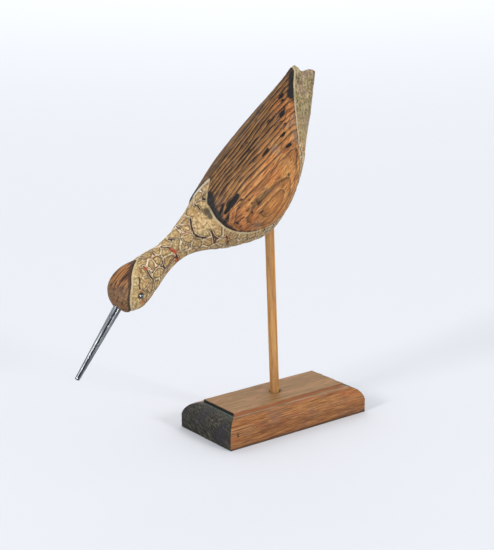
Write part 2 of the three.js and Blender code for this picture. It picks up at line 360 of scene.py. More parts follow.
class Shade:
    """A material or a world, with short calls for the nodes that it is made of."""

    def __init__(self, name, kind=bpy.data.materials, surface="Principled BSDF"):
        self.owner = kind.new(name)
        self.owner.use_nodes = True
        self.tree = self.owner.node_tree
        self.surface = self.tree.nodes[surface]

    def put(self, socket, value):
        """Links a socket or sets its value. A text is the name of a field that the mesh holds,
        and a colour is three numbers."""
        if isinstance(value, str):
            value = self.node("Attribute", {"attribute_name": value}).outputs["Fac"]
        if isinstance(value, bpy.types.NodeSocket):
            self.tree.links.new(value, socket)
        elif socket.type == "RGBA":
            socket.default_value = (*value, 1)
        else:
            socket.default_value = value

    def fill(self, node, **entries):
        for key, value in entries.items():
            self.put(node.inputs[key.replace("_", " ")], value)

    def node(self, kind, settings=None, **entries):
        """A new node with its settings, and with what goes into its inputs."""
        made = self.tree.nodes.new("ShaderNode" + kind)
        for key, value in (settings or {}).items():
            setattr(made, key, value)
        self.fill(made, **entries)
        return made

    def place(self):
        return self.node("TexCoord").outputs["Object"]

    def level(self):
        """The height over the floor, in metres."""
        return self.node("SeparateXYZ", Vector=self.place()).outputs["Z"]

    def turned(self, turn, scale):
        """Places turned back by these angles, and then scaled along each axis."""
        back = self.node("Mapping", {"vector_type": "TEXTURE"}, Vector=self.place(), Rotation=turn)
        return self.node("Mapping", Vector=back.outputs["Vector"], Scale=scale).outputs["Vector"]

    def along(self, way, share):
        """Places scaled by a share along a way that lies in the bird's plane."""
        return self.turned((0, -math.atan2(way[2], way[0]), 0), (share, 1, 1))

    def noise(self, size, vector=None, detail=3, roughness=0.5):
        """Noise from 0 to 1, with features about size millimetres across."""
        made = self.node("TexNoise", Vector=vector or self.place(), Scale=1 / (size * MM),
                         Detail=detail, Roughness=roughness)
        return made.outputs["Fac"]

    def math(self, operation, a, b=0):
        made = self.node("Math", {"operation": operation})
        self.put(made.inputs[0], a)
        self.put(made.inputs[1], b)
        return made.outputs[0]

    def times(self, value, *others):
        for other in others:
            value = self.math("MULTIPLY", value, other)
        return value

    def rest(self, value):
        """One minus a value."""
        return self.math("SUBTRACT", 1, value)

    def jitter(self, value, noise, amount):
        """A value moved up and down by noise, by half the amount at most."""
        return self.math("ADD", value, self.times(self.math("SUBTRACT", noise, 0.5), amount))

    def span(self, value, low, high, to_low=0, to_high=1):
        """A smooth step of value from low to high."""
        made = self.node("MapRange", {"interpolation_type": "SMOOTHSTEP"}, Value=value,
                         From_Min=low, From_Max=high, To_Min=to_low, To_Max=to_high)
        return made.outputs["Result"]

    def mix(self, share, a, b):
        made = self.node("Mix", {"data_type": "RGBA"})
        for index, value in zip((0, 6, 7), (share, a, b)):
            self.put(made.inputs[index], value)
        return made.outputs[2]

    def layers(self, colour, *layers):
        """A colour with others over it. Each follows its share, or a value, the limits of its
        smooth step and the share that it reaches."""
        for *share, tone in layers:
            if len(share) == 4:
                value, low, high, reach = share
                share = [self.span(value, low, high, 0, reach)]
            colour = self.mix(share[0], colour, tone)
        return colour

    def ramp(self, value, *stops):
        made = self.node("ValToRGB", Fac=value)
        entries = made.color_ramp.elements
        while len(entries) < len(stops):
            entries.new(0.5)
        for entry, (at, colour) in zip(entries, stops):
            entry.position = at
            entry.color = (*colour, 1)
        return made.outputs["Color"]

    def bump(self, height, distance):
        """Bumps of a height field from 0 to 1, where 1 is distance millimetres."""
        made = self.node("Bump", Strength=1, Distance=distance * MM, Height=height)
        self.fill(self.surface, Normal=made.outputs["Normal"])

    def set(self, **entries):
        self.fill(self.surface, **entries)
        return self.owner


# Bird: marks that show on its left side, which the right side repeats or follows. Their places
# are pixels of the photo, counted from its left and its top, and their sizes are millimetres.

# Centres of the flakes of the coat on the neck and breast
FLAKES = [
    (175, 234.5), (185.5, 222.5), (189, 238.5), (176.5, 244.5), (166, 243.5), (156.5, 251.5),
    (164.5, 253), (184.5, 247.5), (168.5, 260.5), (156.5, 260), (151.5, 265.5), (158.5, 273),
    (147.5, 255.5), (145.5, 283), (197.5, 243), (207.5, 242), (183, 254.5), (206.5, 233.5),
    (172, 265), (150, 288), (205.5, 188), (193, 211.5), (202.5, 203.5), (185, 226.5),
    (218.5, 229.5), (222, 242), (233.5, 236.5), (240.5, 242), (242.5, 236.5), (253, 235.5),
    (249.5, 240.5), (259.5, 233), (203, 225),
]
# A broad flake on the shoulder, with hardly any crackle
SHOULDER_FLAKE = (203.5, 223.5)
# Open cracks: a width, and a chain of places
CRACKS = [
    (1.5, [(190.5, 219), (191.5, 227), (194, 234), (198, 237), (206, 238)]),
    (1.8, [(211.5, 231), (213, 235.5), (217.5, 239)]),
    (1.2, [(213, 235.5), (214, 243)]),
    (1.1, [(226.5, 235.5), (228, 241), (224.5, 246.5)]),
    (1.7, [(169.5, 248.5), (172, 250.5), (175, 251.5), (176.5, 256), (178, 260.5)]),
    (1.3, [(168, 239.5), (172, 241)]),
    (1.2, [(178.5, 227.5), (182, 231)]),
    (1, [(139, 277), (140, 280), (139, 285), (140.5, 289.5)]),
    (1.2, [(143.5, 266.5), (147, 270.5), (150, 276), (153, 279.5)]),
    (1, [(162.5, 262), (160.5, 266.5)]),
    (1.2, [(154, 256.5), (150, 259.5)]),
]
# Rust-red stains: a place and a radius
RUST = [
    ((175, 251.5), 3.4), ((177.5, 260), 3), ((140.5, 291.8), 1.9),
    ((142.6, 302), 3.3), ((145.5, 268.5), 2.4), ((171, 249.5), 2.2),
]
# Black gouges and knots in the wings: two ends and a radius
GOUGES = [
    ((238, 195.5), (225.5, 213), 2.9), ((223.5, 204), (220.5, 214), 1.7),
    ((229, 215.5), (227, 220.5), 1.7), ((225, 221.5), (226.5, 223.5), 1.3),
    ((237, 222), (238.5, 224), 1.1), ((282.5, 94.5), (277.5, 100), 2.2),
    ((283.5, 100), (281.5, 102), 1.7), ((284, 111.5), (279.5, 117.5), 2.3),
    ((276, 115.5), (272.5, 119), 1.2), ((283, 121), (280, 126.5), 1.2),
    ((285, 132.5), (279, 138), 1.8), ((290.5, 144), (284.5, 148), 1.8),
    ((269.5, 147.5), (262.5, 156), 1.3), ((294.5, 162), (292, 168.5), 0.9),
    ((288.5, 174), (288.5, 175), 1.3),
]
# How far along the fibres the right side's gouges lie from the left side's
GOUGE_SHIFT = 11
# Scorched edges: a radius, and a chain of places
SCORCHED = [
    (5.8, [(209, 195.5), (211.5, 204), (214.5, 211.5), (222, 224), (233.5, 232)]),
    (5.4, [(292.5, 73.5), (291, 80.5), (290.5, 89.5), (290.5, 96)]),
]
# A groove in the end of the tail
TAIL_GROOVE = (1.6, [(297.5, 72), (298, 78), (298, 83)])
# The middle of the oval rings in the wing, their reach along and across the fibres, and how many
OVAL = {"centre": (278.5, 199), "along": 30, "across": 10.5, "rings": 1.6}
# Dark smudges on the coat, redder and greyer wood, wood full of short splits: a place and a radius
SPOTS = {
    # The last of these three dark spots is painted shade in the groove at the end of the tail
    "smudge_and_groove_shade": [((207.5, 211.5), 5.8), ((210.5, 216), 4.2), ((298, 78), 2)],
    "redder": [((286, 109.5), 20), ((244, 224), 24), ((271.5, 172), 16)],
    "greyer": [((294.5, 122), 11), ((296.5, 136.5), 9), ((256.5, 225), 8), ((275, 150), 6)],
    "splits": [((234, 211.5), 26), ((253.5, 213.5), 24), ((281, 118.5), 18)],
}
# Where the carving is a little fuller than the solid: a point, a reach and a height, in millimetres
FULLER = [
    ((-8, 0, 322), 30, 1.3), ((-40, 0, 292), 28, 0.9), ((-66, 0, 268), 18, 0.8),
    ((10, -22, 276), 24, 1.2), ((2, -28, 255), 18, 0.6), ((-12, -28, 222), 20, 0.9),
    ((28, -12, 350), 14, 1.2), ((-152, 0, 198), 12, 1.6),
]
# Rings of the wood lie about a pith that runs along the fibres, beyond the left side
PITH = {"side": -150, "across": 199}
RING_PITCH = 3.4
# Where along X the face without crackle, the crown and the V of the mantle begin and are full
FACE = (-163, -170)
CROWN = (-135, -145)
VEE = (-104, -92)
# The same for the tail, counted from the belly along the fibres
TAIL = (62, 88)
# From this height the tip of the tail is pushed together, to stay inside the solid's box
TAIL_TIP = 335
# Least gaps between the middles of flakes that are placed at random, and how many are tried
SPACING = {"front": 8.6, "behind": 7.5, "shoulder": 15}
SEED_TRIES = 14000
# Depths and heights of the relief in millimetres
RELIEF = {
    "ring": 0.45, "gouge": 0.55, "rim": 0.34, "dish": 0.2, "crack": 0.85, "tail_streak": 0.22,
    "tail_groove": 0.7, "crumb": 0.1, "wood_edge": 0.45,
}


def on_bird(pixel):
    """The point of the carving, in millimetres, that a pixel of the photo shows."""
    right, down = (np.array(pixel) - np.array(PHOTO_SIZE) / 2) * SENSOR / LENS / max(PHOTO_SIZE)
    way = CAMERA_BACK.to_track_quat("Z", "Y") @ Vector((right, -down, -1))
    return np.array(carving.ray_cast(Vector(CAMERA_PLACE) * MM, way)[0]) / MM


def both_sides(points):
    """A point or points on the left side, and their like on the right."""
    return [np.array(points) * (1, side, 1) for side in (1, -1)]


def chain_distances(points, pixels):
    """How far each point is from a chain of marks on the left side, and from its like."""
    return [path_distance(points, marks) for marks in both_sides([on_bird(at) for at in pixels])]


def wood_field(skin):
    """How far inside the bare wood of the wings and the crown each point lies, along the skin."""
    points = skin.points
    wings = np.minimum(edge_distance(points, WING_EDGE, WING_CLOSURE), -wedge_distance(points, MANTLE))
    crown = np.minimum(edge_distance(points, CROWN_EDGE, CROWN_CLOSURE), wedge_distance(points, NAPE))
    field = np.maximum(wings, crown)
    return field / np.clip(skin.slope(field), 0.35, 1.2)


def ring_fields(skin):
    """The growth ring's number and its width on the skin at each point, and the oval's reach."""
    points = skin.points
    across = points @ ACROSS_FIBRE
    radius = np.hypot(points[:, 1] - PITH["side"], across - PITH["across"])
    stretch = (FIBRE, 5)
    phase = radius / RING_PITCH
    phase += 0.55 * noise_at(points, 16, 3, stretch)
    phase += 0.22 * noise_at(points, 6, 4, stretch)
    phase += 0.7 * noise_at(points, 45, 5)
    off = points - on_bird(OVAL["centre"])
    reach = (off @ FIBRE / OVAL["along"]) ** 2 + (off @ ACROSS_FIBRE / OVAL["across"]) ** 2
    oval = np.exp(-reach)
    phase -= OVAL["rings"] * oval
    pitch = 1 / np.maximum(skin.slope(phase), 0.04)
    return phase, np.minimum(pitch, 14), oval


def spread_seeds(skin, allowed, spacing, first, rng):
    """Points picked at random over the skin, no two nearer than the spacing there."""
    chosen = list(first)
    for index in rng.permutation(np.flatnonzero(allowed))[:SEED_TRIES]:
        place = skin.points[index]
        gaps = np.linalg.norm(np.array(chosen) - place, axis=1)
        if gaps.min() > spacing[index]:
            chosen.append(place)
    return np.array(chosen)


def flake_fields(skin, seeds, rng):
    """For each point: millimetres to the nearest flake's edge, how open that edge is, a tone."""
    count = 6
    tree = kdtree.KDTree(len(seeds))
    for number, seed in enumerate(seeds):
        tree.insert(seed, number)
    tree.balance()
    warped = skin.points
    for amount, size, seed in ((1.2, 5.5, 20), (0.35, 2.2, 24)):
        drift = [noise_at(skin.points, size, seed + axis) for axis in range(3)]
        warped = warped + amount * np.stack(drift, axis=1)
    near = np.array([[found[1] for found in tree.find_n(place, count)] for place in warped])
    own = seeds[near[:, 0]]
    openness = rng.random((len(seeds), len(seeds)))
    openness = np.triu(openness) + np.triu(openness, 1).T
    gaps = []
    for other in range(1, count):
        rival = seeds[near[:, other]]
        between = rival - own
        length = np.linalg.norm(between, axis=1)
        middle = (rival + own) / 2
        gaps.append(((middle - warped) * between).sum(1) / np.maximum(length, 1e-6))
    gaps = np.array(gaps)
    soft = 0.5
    rounded = np.maximum(-soft * np.log(np.exp(-gaps / soft).sum(0)), 0)
    rival_number = near[np.arange(len(near)), gaps.argmin(0) + 1]
    opened = openness[near[:, 0], rival_number]
    tone = rng.random(len(seeds))[near[:, 0]]
    return rounded, opened, tone


def coat_fields(skin, wood, tail):
    """The crackle of the coat: edges of flakes, open cracks, and where there is crackle at all."""
    points = skin.points
    x, y, _ = points.T
    face = smoothstep(*FACE, x + 3 * noise_at(points, 9, 8))
    shoulder = np.min([np.linalg.norm(points - middle, axis=1)
                       for middle in both_sides(on_bird(SHOULDER_FLAKE))], axis=0)
    cells = (1 - tail) * (1 - face) * (0.35 + 0.65 * smoothstep(7, 13, shoulder))
    plain = 6 * (1 - cells)

    rng = np.random.default_rng(7)
    spacing = np.where(shoulder < 16, SPACING["shoulder"], SPACING["front"])
    spacing = np.where(points @ FIBRE > belly @ FIBRE - 20, SPACING["behind"], spacing)
    allowed = (wood < -0.5) & (tail < 0.9)
    seeds = spread_seeds(skin, allowed, spacing, [on_bird(place) for place in FLAKES], rng)
    border, opened, tone = flake_fields(skin, seeds, rng)

    vee = smoothstep(-4, 3, wedge_distance(points, MANTLE)) * smoothstep(*VEE, x)
    vee *= 1 - smoothstep(9, 14, np.abs(y))
    far = smoothstep(0.2, 1.6, y) * vee
    opened += 0.25 * far
    wide = np.maximum((opened - 0.3) / 0.7, 0) ** 1.8
    half_width = np.where(opened > 0.3, 0.08 + 0.66 * wide, -1.5)
    half_width *= 0.8 + 0.5 * noise_at(points, 12, 9)
    crack = border - half_width + plain
    ragged = 0.4 * noise_at(points, 2.6, 11)
    for crack_width, pixels in CRACKS:
        away = path_distance(points, [on_bird(pixel) for pixel in pixels])
        crack = np.minimum(crack, away + ragged - crack_width / 2)
    # On the far side of the V, a crack follows the edge of the wood
    crack = np.where(far > 0.5, np.minimum(crack, np.abs(wood + 2.1) - 0.95), crack)
    rim = np.minimum(border + plain, np.maximum(crack, 0))
    return dict(crack=crack, rim=rim, tone=tone, cells=cells, far=far,
                shoulder=1 - smoothstep(8, 14, shoulder))


def wood_marks(points, wood):
    """The black gouges, how deep they are, and the scorched edges."""
    burn = np.zeros(len(points))
    depth = np.zeros(len(points))
    ragged = 0.6 * noise_at(points, 2.2, 12, (FIBRE, 3))
    ragged += 0.35 * noise_at(points, 1.2, 14)
    for start, end, radius in GOUGES:
        for side, ends in enumerate(both_sides([on_bird(start), on_bird(end)])):
            away, share = segment_distance(points, *(ends - FIBRE * GOUGE_SHIFT * side))
            reach = radius * (0.35 + 0.65 * np.sin(math.pi * np.clip(share * 0.8 + 0.15, 0, 1)))
            away += ragged
            burn = np.maximum(burn, 1 - smoothstep(reach * 0.75, reach * 1.15, away))
            depth = np.maximum(depth, (1 - smoothstep(0, reach * 1.1, away)) * radius)
    scorch = np.zeros(len(points))
    uneven = 1.3 * noise_at(points, 5, 13, (FIBRE, 2.5))
    for radius, pixels in SCORCHED:
        for away in chain_distances(points, pixels):
            scorch = np.maximum(scorch, 1 - smoothstep(radius * 0.4, radius, away + uneven))
    return burn, depth, scorch * (wood > -0.4)


def spot_field(points, spots):
    field = np.zeros(len(points))
    uneven = 0.5 * noise_at(points, 2.5, 19)
    for pixel, radius in spots:
        away = np.linalg.norm(points - on_bird(pixel), axis=1) + uneven
        field = np.maximum(field, 1 - smoothstep(radius * 0.45, radius, away))
    return field


def squeezed(values, start, limit):
    """Values beyond the start pushed together, so that none of them passes the limit."""
    beyond = np.maximum(values - start, 0)
    return np.minimum(values, start) + beyond * min(1, (limit - start) / beyond.max())


def build_bird():
    made = fine_copy("bird", "bird_carving", BIRD_FACE)
    skin = Skin(made.data)
    skin.relax(25, 0.12 + 0.88 * smoothstep(1.2, 3.5, np.abs(wood_field(skin))))
    normals = skin.normals()
    fuller = np.zeros(skin.count)
    for place, reach, height in FULLER:
        for spot in both_sides(place):
            share = height / (2 if place[1] == 0 else 1)
            fuller += share * np.exp(-((skin.points - spot) ** 2).sum(1) / reach ** 2)
    skin.lift(fuller, normals)
    wood = wood_field(skin)
    points = skin.points
    phase, pitch, oval = ring_fields(skin)
    tail = smoothstep(*TAIL, (points - belly) @ FIBRE) * (wood < 0)
    coat = coat_fields(skin, wood, tail)
    burn, depth, scorch = wood_marks(points, wood)

    rust = spot_field(points, RUST)
    patches = smoothstep(0.3, 0.55, noise_at(points, 13, 15))
    rust = np.maximum(rust, 0.4 * patches * (coat["crack"] < 0.6))
    ridge = smoothstep(0.3, 0.8, normals @ ACROSS_FIBRE)

    line = np.abs(phase - np.floor(phase) - 0.5) * np.minimum(pitch, 6)
    groove = np.exp(-(line / 0.8) ** 2) * (0.35 + 0.65 * ridge)
    on_wood = smoothstep(0.2, 1.4, wood)
    on_coat = smoothstep(0.1, 1, -wood)
    height = -on_wood * (RELIEF["ring"] * groove + RELIEF["gouge"] * depth)
    rim = RELIEF["rim"] * np.exp(-((coat["rim"] - 0.4) / 0.7) ** 2)
    dish = RELIEF["dish"] * smoothstep(1, 3.5, coat["rim"])
    opening = 1 - smoothstep(-0.5, 0.55, coat["crack"])
    height += on_coat * (coat["cells"] * (rim - dish) - RELIEF["crack"] * opening)
    streaks = noise_at(points, 2.2, 16, (TAIL_WAY, 3.5)) + 0.6 * noise_at(points, 1.6, 18)
    height += on_coat * tail * RELIEF["tail_streak"] * streaks
    groove_width, pixels = TAIL_GROOVE
    for away in chain_distances(points, pixels):
        height -= RELIEF["tail_groove"] * np.exp(-(away / groove_width) ** 2) * on_coat
    height += RELIEF["crumb"] * noise_at(points, 3.5, 17)
    height -= RELIEF["wood_edge"] * np.exp(-((wood + 0.7) / 0.6) ** 2)
    skin.lift(height, normals)
    skin.points[:, 2] = squeezed(skin.points[:, 2], TAIL_TIP, cad_box[1][2] / MM - 0.02)
    skin.write()

    spots = {name: spot_field(points, places) for name, places in SPOTS.items()}
    skin.store(wood=wood, phase=phase, pitch=pitch, burn=burn, scorch=scorch, rust=rust,
               ridge=ridge, tail=tail, oval=oval, crest=points[:, 1],
               crown=smoothstep(*CROWN, points[:, 0]), **coat, **spots)
    finish_piece(made, bird_material(), "carving", "bird")


def wood_colour(shade, fibre):
    """Bare weathered softwood: dark lines of the rings, fine fibres, scorched edges, gouges."""
    streak = shade.noise(1.9, shade.along(FIBRE, 0.1), detail=4, roughness=0.6)
    breaks = shade.noise(3, shade.along(FIBRE, 0.16), detail=2)
    patch = shade.noise(24, detail=2)
    tint = shade.noise(11)
    flank = shade.ramp(patch, (0.32, (0.48, 0.185, 0.05)), (0.52, (0.6, 0.285, 0.085)),
                       (0.7, (0.53, 0.2, 0.047)))
    back = shade.ramp(patch, (0.35, (0.145, 0.06, 0.016)), (0.65, (0.225, 0.1, 0.028)))
    ring = shade.math("FRACT", shade.math("ADD", "phase", 0.5))
    late = shade.span(ring, 0.35, 1, 0, 0.72)
    dark_streak = shade.span(streak, 0.49, 0.64, 0, 0.85)
    light_streak = shade.span(streak, 0.43, 0.32, 0, 0.85)

    # The dark line of each ring is dark late wood with painted shade over its groove; a lighter line
    # next to it on one side is a painted highlight
    to_line = shade.math("MINIMUM", ring, shade.rest(ring))
    to_line = shade.times(to_line, shade.math("MINIMUM", "pitch", 9))
    width = shade.span(breaks, 0.3, 0.72, 0.1, 0.95)
    beyond = shade.math("SUBTRACT", shade.jitter(to_line, fibre, 0.8), width)
    ring_highlight = shade.times(shade.span(beyond, 0.75, 0.3), shade.span(ring, 0.5, 0.4),
                         shade.span("ridge", 0, 1, 0.5, 0.85))
    strength = shade.math("ADD", shade.times("ridge", 0.25), shade.span(breaks, 0.25, 0.6, 0.45, 0.75))
    strength = shade.times(strength, shade.span("oval", 0, 0.6, 1, 0.55))
    ring_line_and_groove_shade = shade.times(shade.span(beyond, 0.6, -0.15), strength)
    splits = shade.noise(1.5, shade.along(FIBRE, 0.16), detail=2)
    splits = shade.math("ADD", splits, shade.times("splits", 0.08))
    greyer = shade.times("greyer", shade.span(streak, 0.4, 0.58, 0.15, 0.75))

    low = shade.times(shade.span(shade.level(), 0.18, 0.168), "crown")
    mottle = shade.noise(3.4, detail=4, roughness=0.65)
    grey = shade.ramp(mottle, (0.34, (0.045, 0.028, 0.018)), (0.5, (0.145, 0.088, 0.048)),
                      (0.66, (0.215, 0.132, 0.067)))
    # Painted shade: a dark line along the top of the back, and a dark band on the back's far shoulder
    side = shade.jitter("crest", streak, 3)
    ridge_line_shade = shade.times(shade.span(side, -1.6, -0.4, 0, 0.7), shade.span(side, 1.8, 0.6))
    far_shoulder_shade = shade.times(shade.span(side, 4.5, 6.5), shade.span(side, 15, 10),
                                shade.span("ridge", 0.5, 0.9, 0, 0.7),
                                shade.span(breaks, 0.35, 0.65, 0.5, 1))
    crest = shade.times(shade.math("MAXIMUM", ridge_line_shade, far_shoulder_shade), shade.rest("crown"))
    stripes = shade.noise(1.9, shade.along(FIBRE, 0.045), detail=2)
    striped = shade.times("crown", shade.span(low, 0, 1, 0.85, 0.35))
    dark_stripe = shade.times(shade.span(stripes, 0.53, 0.6), striped)
    light_stripe = shade.times(shade.span(stripes, 0.51, 0.43, 0, 0.85), striped)
    edge_reach = shade.math("ADD", shade.times("crown", 0.9), shade.span(breaks, 0.3, 0.7, 0.8, 2.2))
    edge = shade.math("SUBTRACT", "wood", edge_reach)
    scorched = shade.mix(shade.span(fibre, 0.42, 0.68), (0.004, 0.004, 0.004), (0.028, 0.021, 0.02))
    wood = shade.layers(
        shade.mix("ridge", flank, back),
        (shade.times("redder", 0.5), (0.56, 0.165, 0.04)),
        (late, shade.mix("ridge", (0.2, 0.07, 0.022), (0.07, 0.032, 0.014))),
        (dark_streak, shade.mix("ridge", (0.17, 0.058, 0.02), (0.06, 0.03, 0.014))),
        (light_streak, shade.mix("ridge", (0.7, 0.35, 0.112), (0.34, 0.165, 0.058))),
        # A painted highlight next to each ring line, then the line itself: dark late wood and painted
        # shade in its groove
        (ring_highlight, shade.mix("ridge", (0.74, 0.38, 0.13), (0.54, 0.29, 0.105))),
        (ring_line_and_groove_shade, (0.018, 0.008, 0.004)),
        (fibre, 0.5, 0.68, 0.7, (0.085, 0.034, 0.013)),
        (splits, 0.64, 0.7, 0.92, (0.012, 0.006, 0.004)),
        (tint, 0.56, 0.72, 0.42, (0.165, 0.095, 0.065)),
        (greyer, (0.215, 0.14, 0.1)),
        (shade.level(), 0.236, 0.212, 0.35, (0.19, 0.07, 0.027)),
        (shade.times(low, 0.8), grey),
        # painted shade along the top of the back and on its far shoulder
        (crest, (0.03, 0.025, 0.024)),
        (dark_stripe, (0.028, 0.013, 0.008)),
        (light_stripe, (0.4, 0.17, 0.05)),
        (edge, 0, -1.2, 0.85, (0.04, 0.021, 0.014)),
        ("scorch", scorched),
        ("burn", (0.004, 0.004, 0.005)),
    )
    return wood, ring_line_and_groove_shade


def tail_colour(shade, drift):
    """The worn tail: streaks along it, and pits."""
    streak = shade.noise(2, shade.along(TAIL_WAY, 0.22), detail=5, roughness=0.65)
    pits = shade.noise(1.7)
    return shade.layers(
        shade.ramp(streak, (0.34, (0.085, 0.059, 0.026)), (0.45, (0.21, 0.155, 0.073)),
                   (0.55, (0.31, 0.24, 0.118)), (0.68, (0.48, 0.38, 0.205))),
        (drift, 0.52, 0.68, 0.45, (0.3, 0.185, 0.15)),
        (drift, 0.44, 0.32, 0.45, (0.21, 0.205, 0.145)),
        (pits, 0.56, 0.66, 0.8, (0.075, 0.045, 0.018)),
        (pits, 0.42, 0.34, 0.55, (0.54, 0.435, 0.245)),
    )


def coat_colour(shade, fleck):
    """Thick old tan paint: flakes with pale raised rims and painted shade inside, dark cracks, rust
    stains.
    """
    mottle = shade.noise(3, detail=4, roughness=0.62)
    drift = shade.noise(14, detail=2)
    fine = shade.noise(2.2, roughness=0.62)
    to_rim = shade.jitter("rim", fleck, 0.6)
    crack = shade.jitter("crack", fleck, 0.6)

    centre = shade.times(shade.span(to_rim, 2.2, 3.6), "cells", shade.span(mottle, 0.42, 0.6, 0, 0.7))
    # Painted shade in the dished middle of each flake, just inside its rim
    dish_shade = shade.times(shade.span(to_rim, 2.4, 1.3), "cells", shade.span(fine, 0.3, 0.6, 0.5, 0.95))
    worn = shade.math("MAXIMUM", shade.span(drift, 0.35, 0.62, 0.45, 1), "far")
    rim = shade.times(shade.span(to_rim, 0.95, 0.45), "cells", worn,
                      shade.span(fine, 0.6, 0.46, 0.35, 1))
    stained = shade.times("rust", shade.span(to_rim, 2, 0.3))
    stained = shade.math("MAXIMUM", stained, shade.span("rust", 0.7, 1, 0, 0.85))
    deep = shade.mix(shade.span(drift, 0.4, 0.6), (0.035, 0.018, 0.011), (0.095, 0.04, 0.023))
    lip = shade.times(shade.span("wood", -3, -2), shade.span(drift, 0.3, 0.6, 0.35, 0.9))
    return shade.layers(
        shade.mix("shoulder", (0.49, 0.335, 0.142), (0.64, 0.465, 0.225)),
        ("tone", 0.55, 1, 0.6, (0.33, 0.25, 0.105)),
        ("tone", 0.45, 0, 0.6, (0.5, 0.3, 0.115)),
        (mottle, 0.52, 0.36, 0.5, (0.22, 0.14, 0.058)),
        (fine, 0.49, 0.62, 0.75, (0.2, 0.115, 0.042)),
        (fine, 0.47, 0.36, 0.75, (0.72, 0.575, 0.34)),
        (centre, (0.34, 0.185, 0.068)),
        (dish_shade, (0.14, 0.075, 0.027)),
        (rim, shade.mix("far", (0.79, 0.65, 0.44), (0.86, 0.79, 0.67))),
        ("tail", tail_colour(shade, drift)),
        # dark smudges, and painted shade in the tail's groove
        (shade.times("smudge_and_groove_shade", 0.9), (0.05, 0.038, 0.02)),
        (stained, (0.43, 0.105, 0.035)),
        (crack, 0.35, -0.05, 1, shade.mix("rust", deep, (0.33, 0.06, 0.018))),
        (lip, (0.56, 0.45, 0.27)),
        (shade.times("far", shade.span("wood", -1.2, -1)), (0.88, 0.82, 0.7)),
        # Painted shadow of the wood's raised edge on the coat next to it, except on the far side of
        # the V
        (shade.times(shade.span("wood", -1.3, -0.6), shade.rest("far")), (0.03, 0.015, 0.009)),
    )


def bird_material():
    shade = Shade("carving")
    fibre = shade.noise(0.75, shade.along(FIBRE, 0.05), detail=4, roughness=0.62)
    fleck = shade.noise(0.9, roughness=0.6)
    wood, ring_line_and_groove_shade = wood_colour(shade, fibre)
    coat = coat_colour(shade, fleck)
    colour = shade.mix(shade.span("wood", -0.35, 0.15), coat, wood)
    height = shade.math("ADD", shade.times(fibre, 0.8), shade.times(fleck, 0.5))
    height = shade.math("SUBTRACT", height, shade.times(ring_line_and_groove_shade, 0.6))
    shade.bump(height, 0.4)
    roughness = shade.span(fleck, 0.2, 0.8, 0.5, 0.7)
    return shade.set(Base_Color=colour, Roughness=roughness, Specular_IOR_Level=0.14)


# Bill, eyes and rod

# The end of the bill: how long its rounding is, and how much of that the flat tip cuts off
BILL_ROUNDING = 0.9
BILL_TIP_CUT = 0.25
# The ends of the rod: how far and how deep they are rounded
ROD_ROUNDING = (0.8, 0.6)


def build_bill():
    points = Skin(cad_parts["bill"].data).points
    angle = math.radians(BILL_ANGLE)
    way = np.array([-math.cos(angle), 0, -math.sin(angle)])
    reach = points @ way
    start = points[reach < reach.min() + 0.5].mean(0)
    tip = points[reach > reach.max() - 0.5].mean(0)
    length = np.linalg.norm(tip - start)
    sides, rows = BILL_GRID
    rings = [ring_round(start, way, 2, sides)]
    for at in np.linspace(0, length, rows):
        share = max(0, at - BILL_SOCKET_DEPTH) / (length - BILL_SOCKET_DEPTH)
        radius = (BILL_ROOT_DIAMETER + (BILL_TIP_DIAMETER - BILL_ROOT_DIAMETER) * share) / 2
        nearness = min(1, (BILL_TIP_CUT + length - at) / BILL_ROUNDING)
        radius *= math.sqrt(1 - (1 - nearness) ** 2)
        spots = ring_round(start + way * at, way, radius, sides)
        waves = 0.02 * np.cos(5 * angles(sides) + at * 0.02)
        uneven = 1 - waves + 0.012 * noise_at(spots, 2.5, 51)
        rings.append(ring_round(start + way * at, way, radius * uneven - BILL_INSET, sides))
    finish_piece(add_lathe("bill_spike", rings), bill_material(), "bill_metal", "bill")


def bill_material():
    shade = Shade("bill_metal")
    turn = (0, math.radians(90 - BILL_ANGLE), 0)
    scratch = shade.noise(0.6, shade.turned(turn, (1, 1, 0.05)), detail=4, roughness=0.7)
    stain = shade.noise(3, detail=4)
    streaks = shade.noise(1.5, shade.turned(turn, (1, 1, 0.02)), detail=1)
    colour = shade.ramp(shade.jitter(streaks, scratch, 0.25), (0.4, (0.075, 0.082, 0.09)),
                        (0.51, (0.14, 0.15, 0.16)), (0.62, (0.26, 0.275, 0.288)))
    colour = shade.mix(shade.span(stain, 0.5, 0.68, 0, 0.55), colour, (0.09, 0.1, 0.11))
    shade.bump(scratch, 0.02)
    roughness = shade.span(scratch, 0.3, 0.7, 0.15, 0.09)
    return shade.set(Base_Color=colour, Metallic=1, Roughness=roughness)


def build_eye(node, name, material):
    low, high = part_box(node)
    centre = np.array((low + high) / 2) / MM
    sides, rows = EYE_GRID
    radius = EYE_DIAMETER / 2
    rings = []
    for turn in np.linspace(0, math.pi, rows + 2)[1:-1]:
        at = centre + np.array([0, math.cos(turn) * radius, 0])
        rings.append(ring_round(at, (0, -1, 0), radius * math.sin(turn), sides, side_way=(0, 0, 1)))
    finish_piece(add_lathe(name, rings), material, "eye_glass", node)


def eye_material():
    shade = Shade("eye_glass")
    depth = shade.noise(1.5, detail=2)
    colour = shade.ramp(depth, (0.35, (0.004, 0.006, 0.009)), (0.65, (0.01, 0.014, 0.02)))
    return shade.set(Base_Color=colour, Roughness=0.05, IOR=1.52, Coat_Weight=0.6,
                     Coat_Roughness=0.03, Coat_IOR=1.6)


